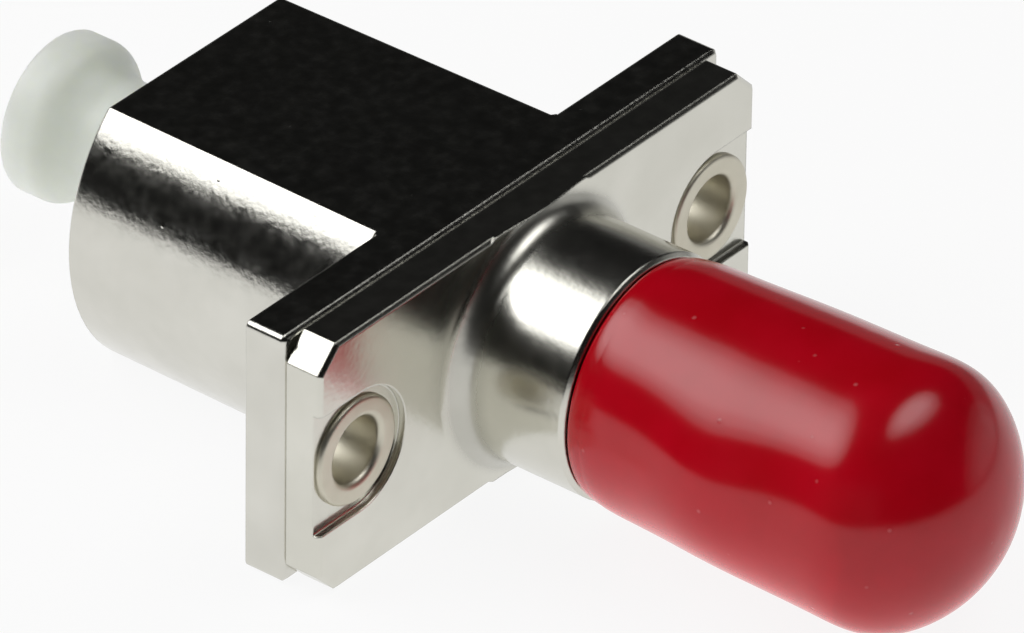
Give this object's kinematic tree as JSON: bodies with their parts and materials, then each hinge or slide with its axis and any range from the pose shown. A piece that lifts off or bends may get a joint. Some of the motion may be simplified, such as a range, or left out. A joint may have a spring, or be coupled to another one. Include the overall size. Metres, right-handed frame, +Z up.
{
  "type": "lc to st fibre adapter",
  "caption": "Flanged fibre adapter joining an LC port to a bayonet ST barrel, in a nickel-plated cast housing with a soft red dust cap and a white dust plug.",
  "frame": {"origin": "on the fibre axis, in the plane of the flange's back face, which seats on the panel", "axes": "+Y along the fibre axis towards the LC port, -Y towards the ST barrel, X along the flange's long side, +Z up, on the side of the latch slot and the key slot"},
  "size_m": [0.022, 0.0383, 0.0094],
  "materials": {
    "plated_housing": "semi-gloss nickel plate over a zinc casting",
    "plated_eyelet": "nickel-plated rolled brass",
    "zirconia": "polished white ceramic",
    "moulded_holder": "moulded ivory plastic",
    "turned_holder": "turned and plated brass",
    "red_vinyl": "glossy dipped vinyl",
    "white_plug": "translucent milky polyethylene"
  },
  "bodies": {
    "adapter": {"lc_housing": "plated_housing", "st_housing": "plated_housing", "left_eyelet": "plated_eyelet", "right_eyelet": "plated_eyelet", "ferrule_sleeve": "zirconia", "lc_sleeve_holder": "moulded_holder", "st_sleeve_holder": "turned_holder"},
    "dust_cap": {"st_dust_cap": "red_vinyl"},
    "dust_plug": {"lc_dust_plug": "white_plug"}
  },
  "joints": [
    {"name": "cap_pull", "type": "slide", "parent": "adapter", "child": "dust_cap", "axis": [0, -1, 0], "range_m": [0, 0.014]},
    {"name": "plug_pull", "type": "slide", "parent": "adapter", "child": "dust_plug", "axis": [0, 1, 0], "range_m": [0, 0.012]}
  ]
}
